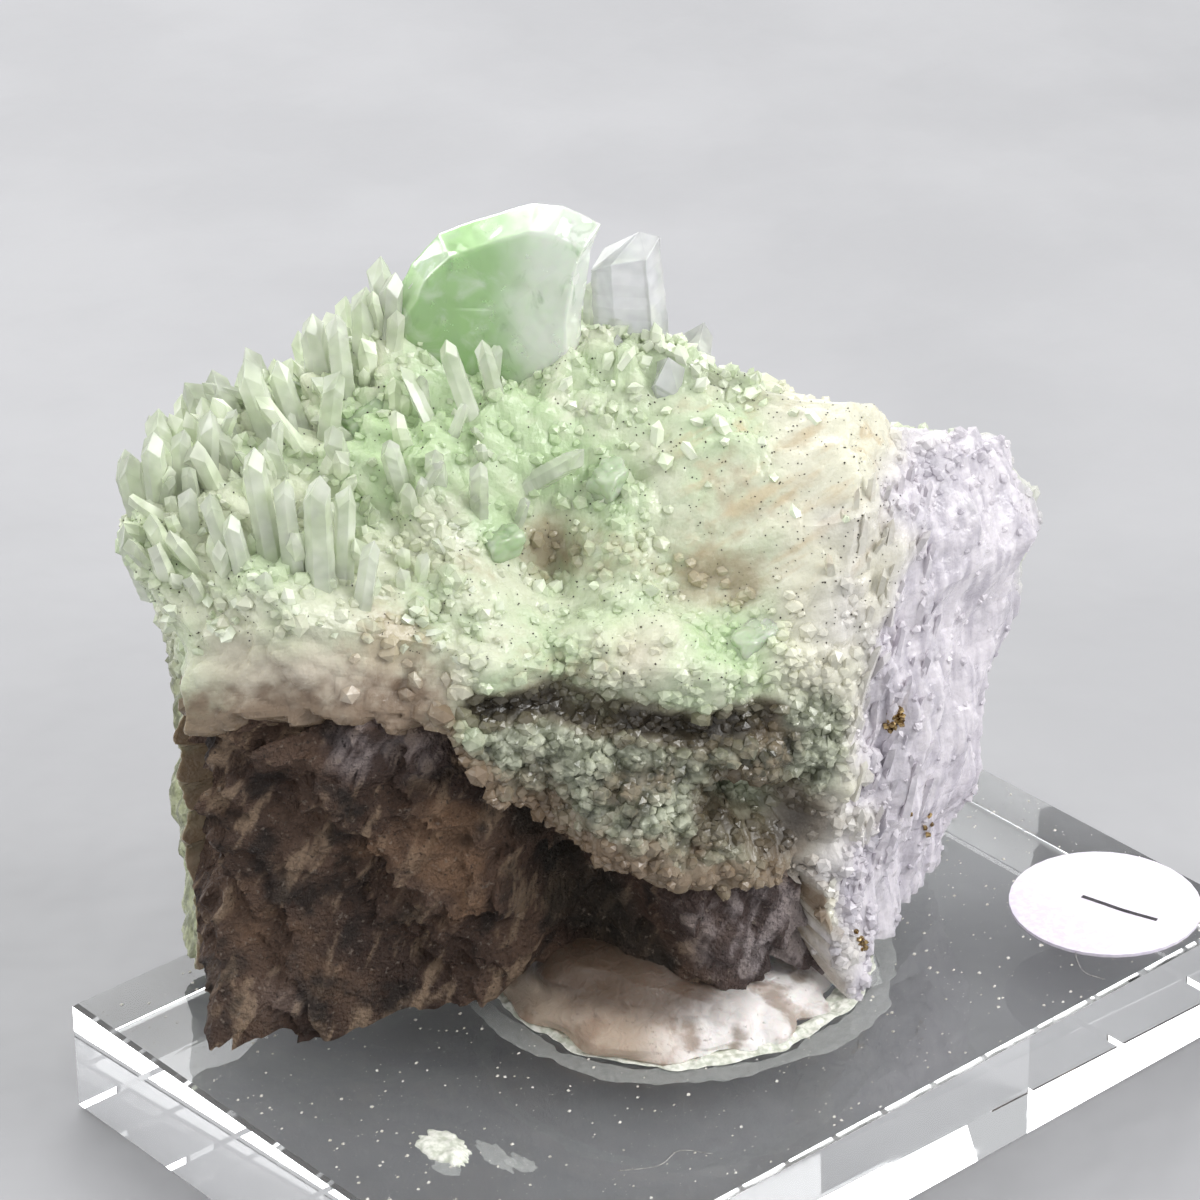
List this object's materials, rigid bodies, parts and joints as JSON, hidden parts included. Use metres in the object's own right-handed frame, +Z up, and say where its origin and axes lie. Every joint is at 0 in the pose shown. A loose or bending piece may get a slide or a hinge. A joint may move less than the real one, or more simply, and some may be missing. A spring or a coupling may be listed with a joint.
{
  "type": "augelite cluster",
  "caption": "Block of brown rock under a crust of pale green augelite and clear quartz, held by putty on a clear acrylic display slab.",
  "frame": {"origin": "centre of the acrylic slab's underside, the face that it rests on", "axes": "+Z up, +X along the slab's long side towards the label, +Y along its short side away from the viewer"},
  "size_m": [0.0762, 0.0596, 0.069],
  "materials": {
    "host_rock": "rough broken brown rock with rusty stains and dark grains",
    "crystal_crust": "waxy and sugary, pale green to cream, lilac white on the right face",
    "augelite": "glassy pale green crystal with cloudy veils",
    "quartz": "clear striated crystals with bright flat faces",
    "putty": "matt kneaded putty, smooth on one side and crinkled on the other",
    "acrylic": "polished clear acrylic with dust and a greasy ring",
    "label": "matt white paper dot with one pen stroke"
  },
  "bodies": {
    "root": {"host_rock": "host_rock", "crystal_crust": "crystal_crust", "augelite_crystal": "augelite", "quartz_spire": "quartz", "quartz_spray_left": "quartz", "quartz_spray_front": "quartz", "quartz_blades": "quartz", "quartz_spray_crest": "quartz", "mounting_putty": "putty", "acrylic_base": "acrylic", "number_label": "label"}
  },
  "joints": []
}
